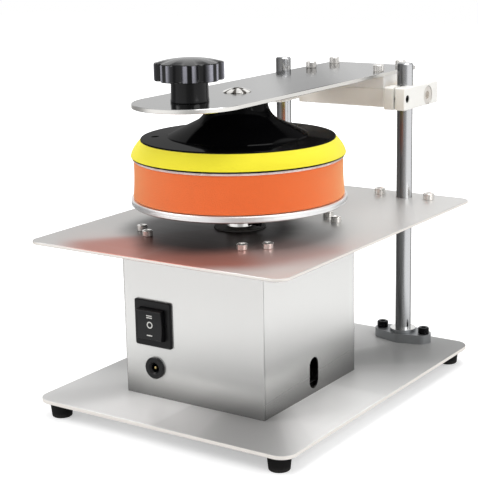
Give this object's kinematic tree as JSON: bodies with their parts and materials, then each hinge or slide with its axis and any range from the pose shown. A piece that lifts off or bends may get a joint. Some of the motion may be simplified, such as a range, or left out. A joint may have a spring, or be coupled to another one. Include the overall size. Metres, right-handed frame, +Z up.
{
  "type": "disc repair machine",
  "caption": "Bench machine that polishes optical discs: a motor in a folded housing turns a platter under a hinged arm with a round foam pad, held on rods.",
  "frame": {"origin": "middle of the overall footprint, on the surface that the feet stand on", "axes": "+Z up; the front with the rocker switch and the DC inlet faces -Y; +X to the right as seen from the front"},
  "size_m": [0.21, 0.303, 0.2534],
  "materials": {
    "sheet_steel": "brushed",
    "table_steel": "brushed, half mirror",
    "housing_steel": "fine brushed",
    "arm_steel": "fine brushed",
    "rod_steel": "ground and polished",
    "bright_screws": "polished",
    "dark_screws": "black oxide",
    "zinc_screws": "zinc plated",
    "support_metal": "dull, bead blasted",
    "clamp_metal": "satin, pale",
    "hinge_metal": "satin, pale",
    "hub_metal": "turned",
    "platter_metal": "turned and polished",
    "foot_rubber": "matt",
    "switch_plastic": "satin black",
    "rocker_plastic": "satin black",
    "jack_plastic": "satin black",
    "contact_metal": "nickel plated",
    "grip_plastic": "glossy black",
    "cone_plastic": "glossy black",
    "yellow_foam": "fine foam",
    "orange_foam": "open foam",
    "hook_strip": "hooks",
    "loop_strip": "brushed loops",
    "motor_paint": "satin black",
    "motor_cast": "cast and turned",
    "magnet_ferrite": "matt",
    "core_steel": "stacked sheets",
    "winding_copper": "enamelled",
    "commutator_copper": "turned",
    "brush_carbon": "carbon",
    "lead_insulation": "smooth"
  },
  "bodies": {
    "base": {"base_plate": "sheet_steel", "rubber_feet": "foot_rubber", "housing_front_left": "housing_steel", "housing_right_back": "housing_steel", "housing_base_screws": "zinc_screws", "flange_nuts": "zinc_screws", "table_plate": "table_steel", "table_screws": "bright_screws", "guide_rod_left": "rod_steel", "guide_rod_right": "rod_steel", "rod_foot_left": "support_metal", "rod_foot_right": "support_metal", "rod_collar_left": "support_metal", "rod_collar_right": "support_metal", "rod_support_screws": "dark_screws", "rod_grub_screws": "dark_screws", "switch_frame": "switch_plastic", "switch_terminals": "contact_metal", "jack_body": "jack_plastic", "jack_contacts": "contact_metal", "jack_nut": "zinc_screws", "motor_plate": "zinc_screws", "motor_bell": "motor_cast", "motor_screws": "zinc_screws", "motor_can": "motor_paint", "motor_cap": "motor_cast", "motor_bearings": "core_steel", "motor_magnets": "magnet_ferrite", "motor_brushes": "brush_carbon", "motor_terminals": "contact_metal", "inner_leads": "lead_insulation"},
    "spindle": {"rotor_shaft": "rod_steel", "rotor_core": "core_steel", "rotor_windings": "winding_copper", "commutator": "commutator_copper", "platter_hub": "hub_metal", "hub_grub_screw": "dark_screws", "platter": "platter_metal", "disc_boss": "platter_metal", "platter_screws": "bright_screws"},
    "rocker": {"rocker": "rocker_plastic"},
    "bridge": {"clamp_left": "clamp_metal", "clamp_right": "clamp_metal", "clamp_screws": "dark_screws", "pivot_bolts": "bright_screws", "pivot_bushes": "dark_screws"},
    "arm": {"hinge_block": "hinge_metal", "arm_spacer": "hinge_metal", "arm_plate": "arm_steel", "arm_screws": "bright_screws", "grip_knob": "grip_plastic", "grip_screw": "zinc_screws", "pad_bolt": "bright_screws", "pad_nut": "zinc_screws"},
    "pad": {"pad_bearings": "core_steel", "pad_cone": "cone_plastic", "yellow_pad": "yellow_foam", "hook_layer": "hook_strip", "loop_layer": "loop_strip", "orange_sponge": "orange_foam"}
  },
  "joints": [
    {"name": "platter_spin", "type": "hinge", "parent": "base", "child": "spindle", "pos_m": [0, -0.04387, 0.1481], "axis": [0, 0, 1], "continuous": true},
    {"name": "rocker_tilt", "type": "hinge", "parent": "base", "child": "rocker", "pos_m": [-0.0318, -0.10652, 0.0687], "axis": [1, 0, 0], "range_deg": [-11, 11]},
    {"name": "bridge_slide", "type": "slide", "parent": "base", "child": "bridge", "axis": [0, 0, 1], "range_m": [0, 0.016]},
    {"name": "arm_lift", "type": "hinge", "parent": "bridge", "child": "arm", "pos_m": [0, 0.12252, 0.2057], "axis": [-1, 0, 0], "range_deg": [0, 100]},
    {"name": "pad_spin", "type": "hinge", "parent": "arm", "child": "pad", "pos_m": [0, -0.04387, 0.207], "axis": [0, 0, 1], "continuous": true}
  ]
}
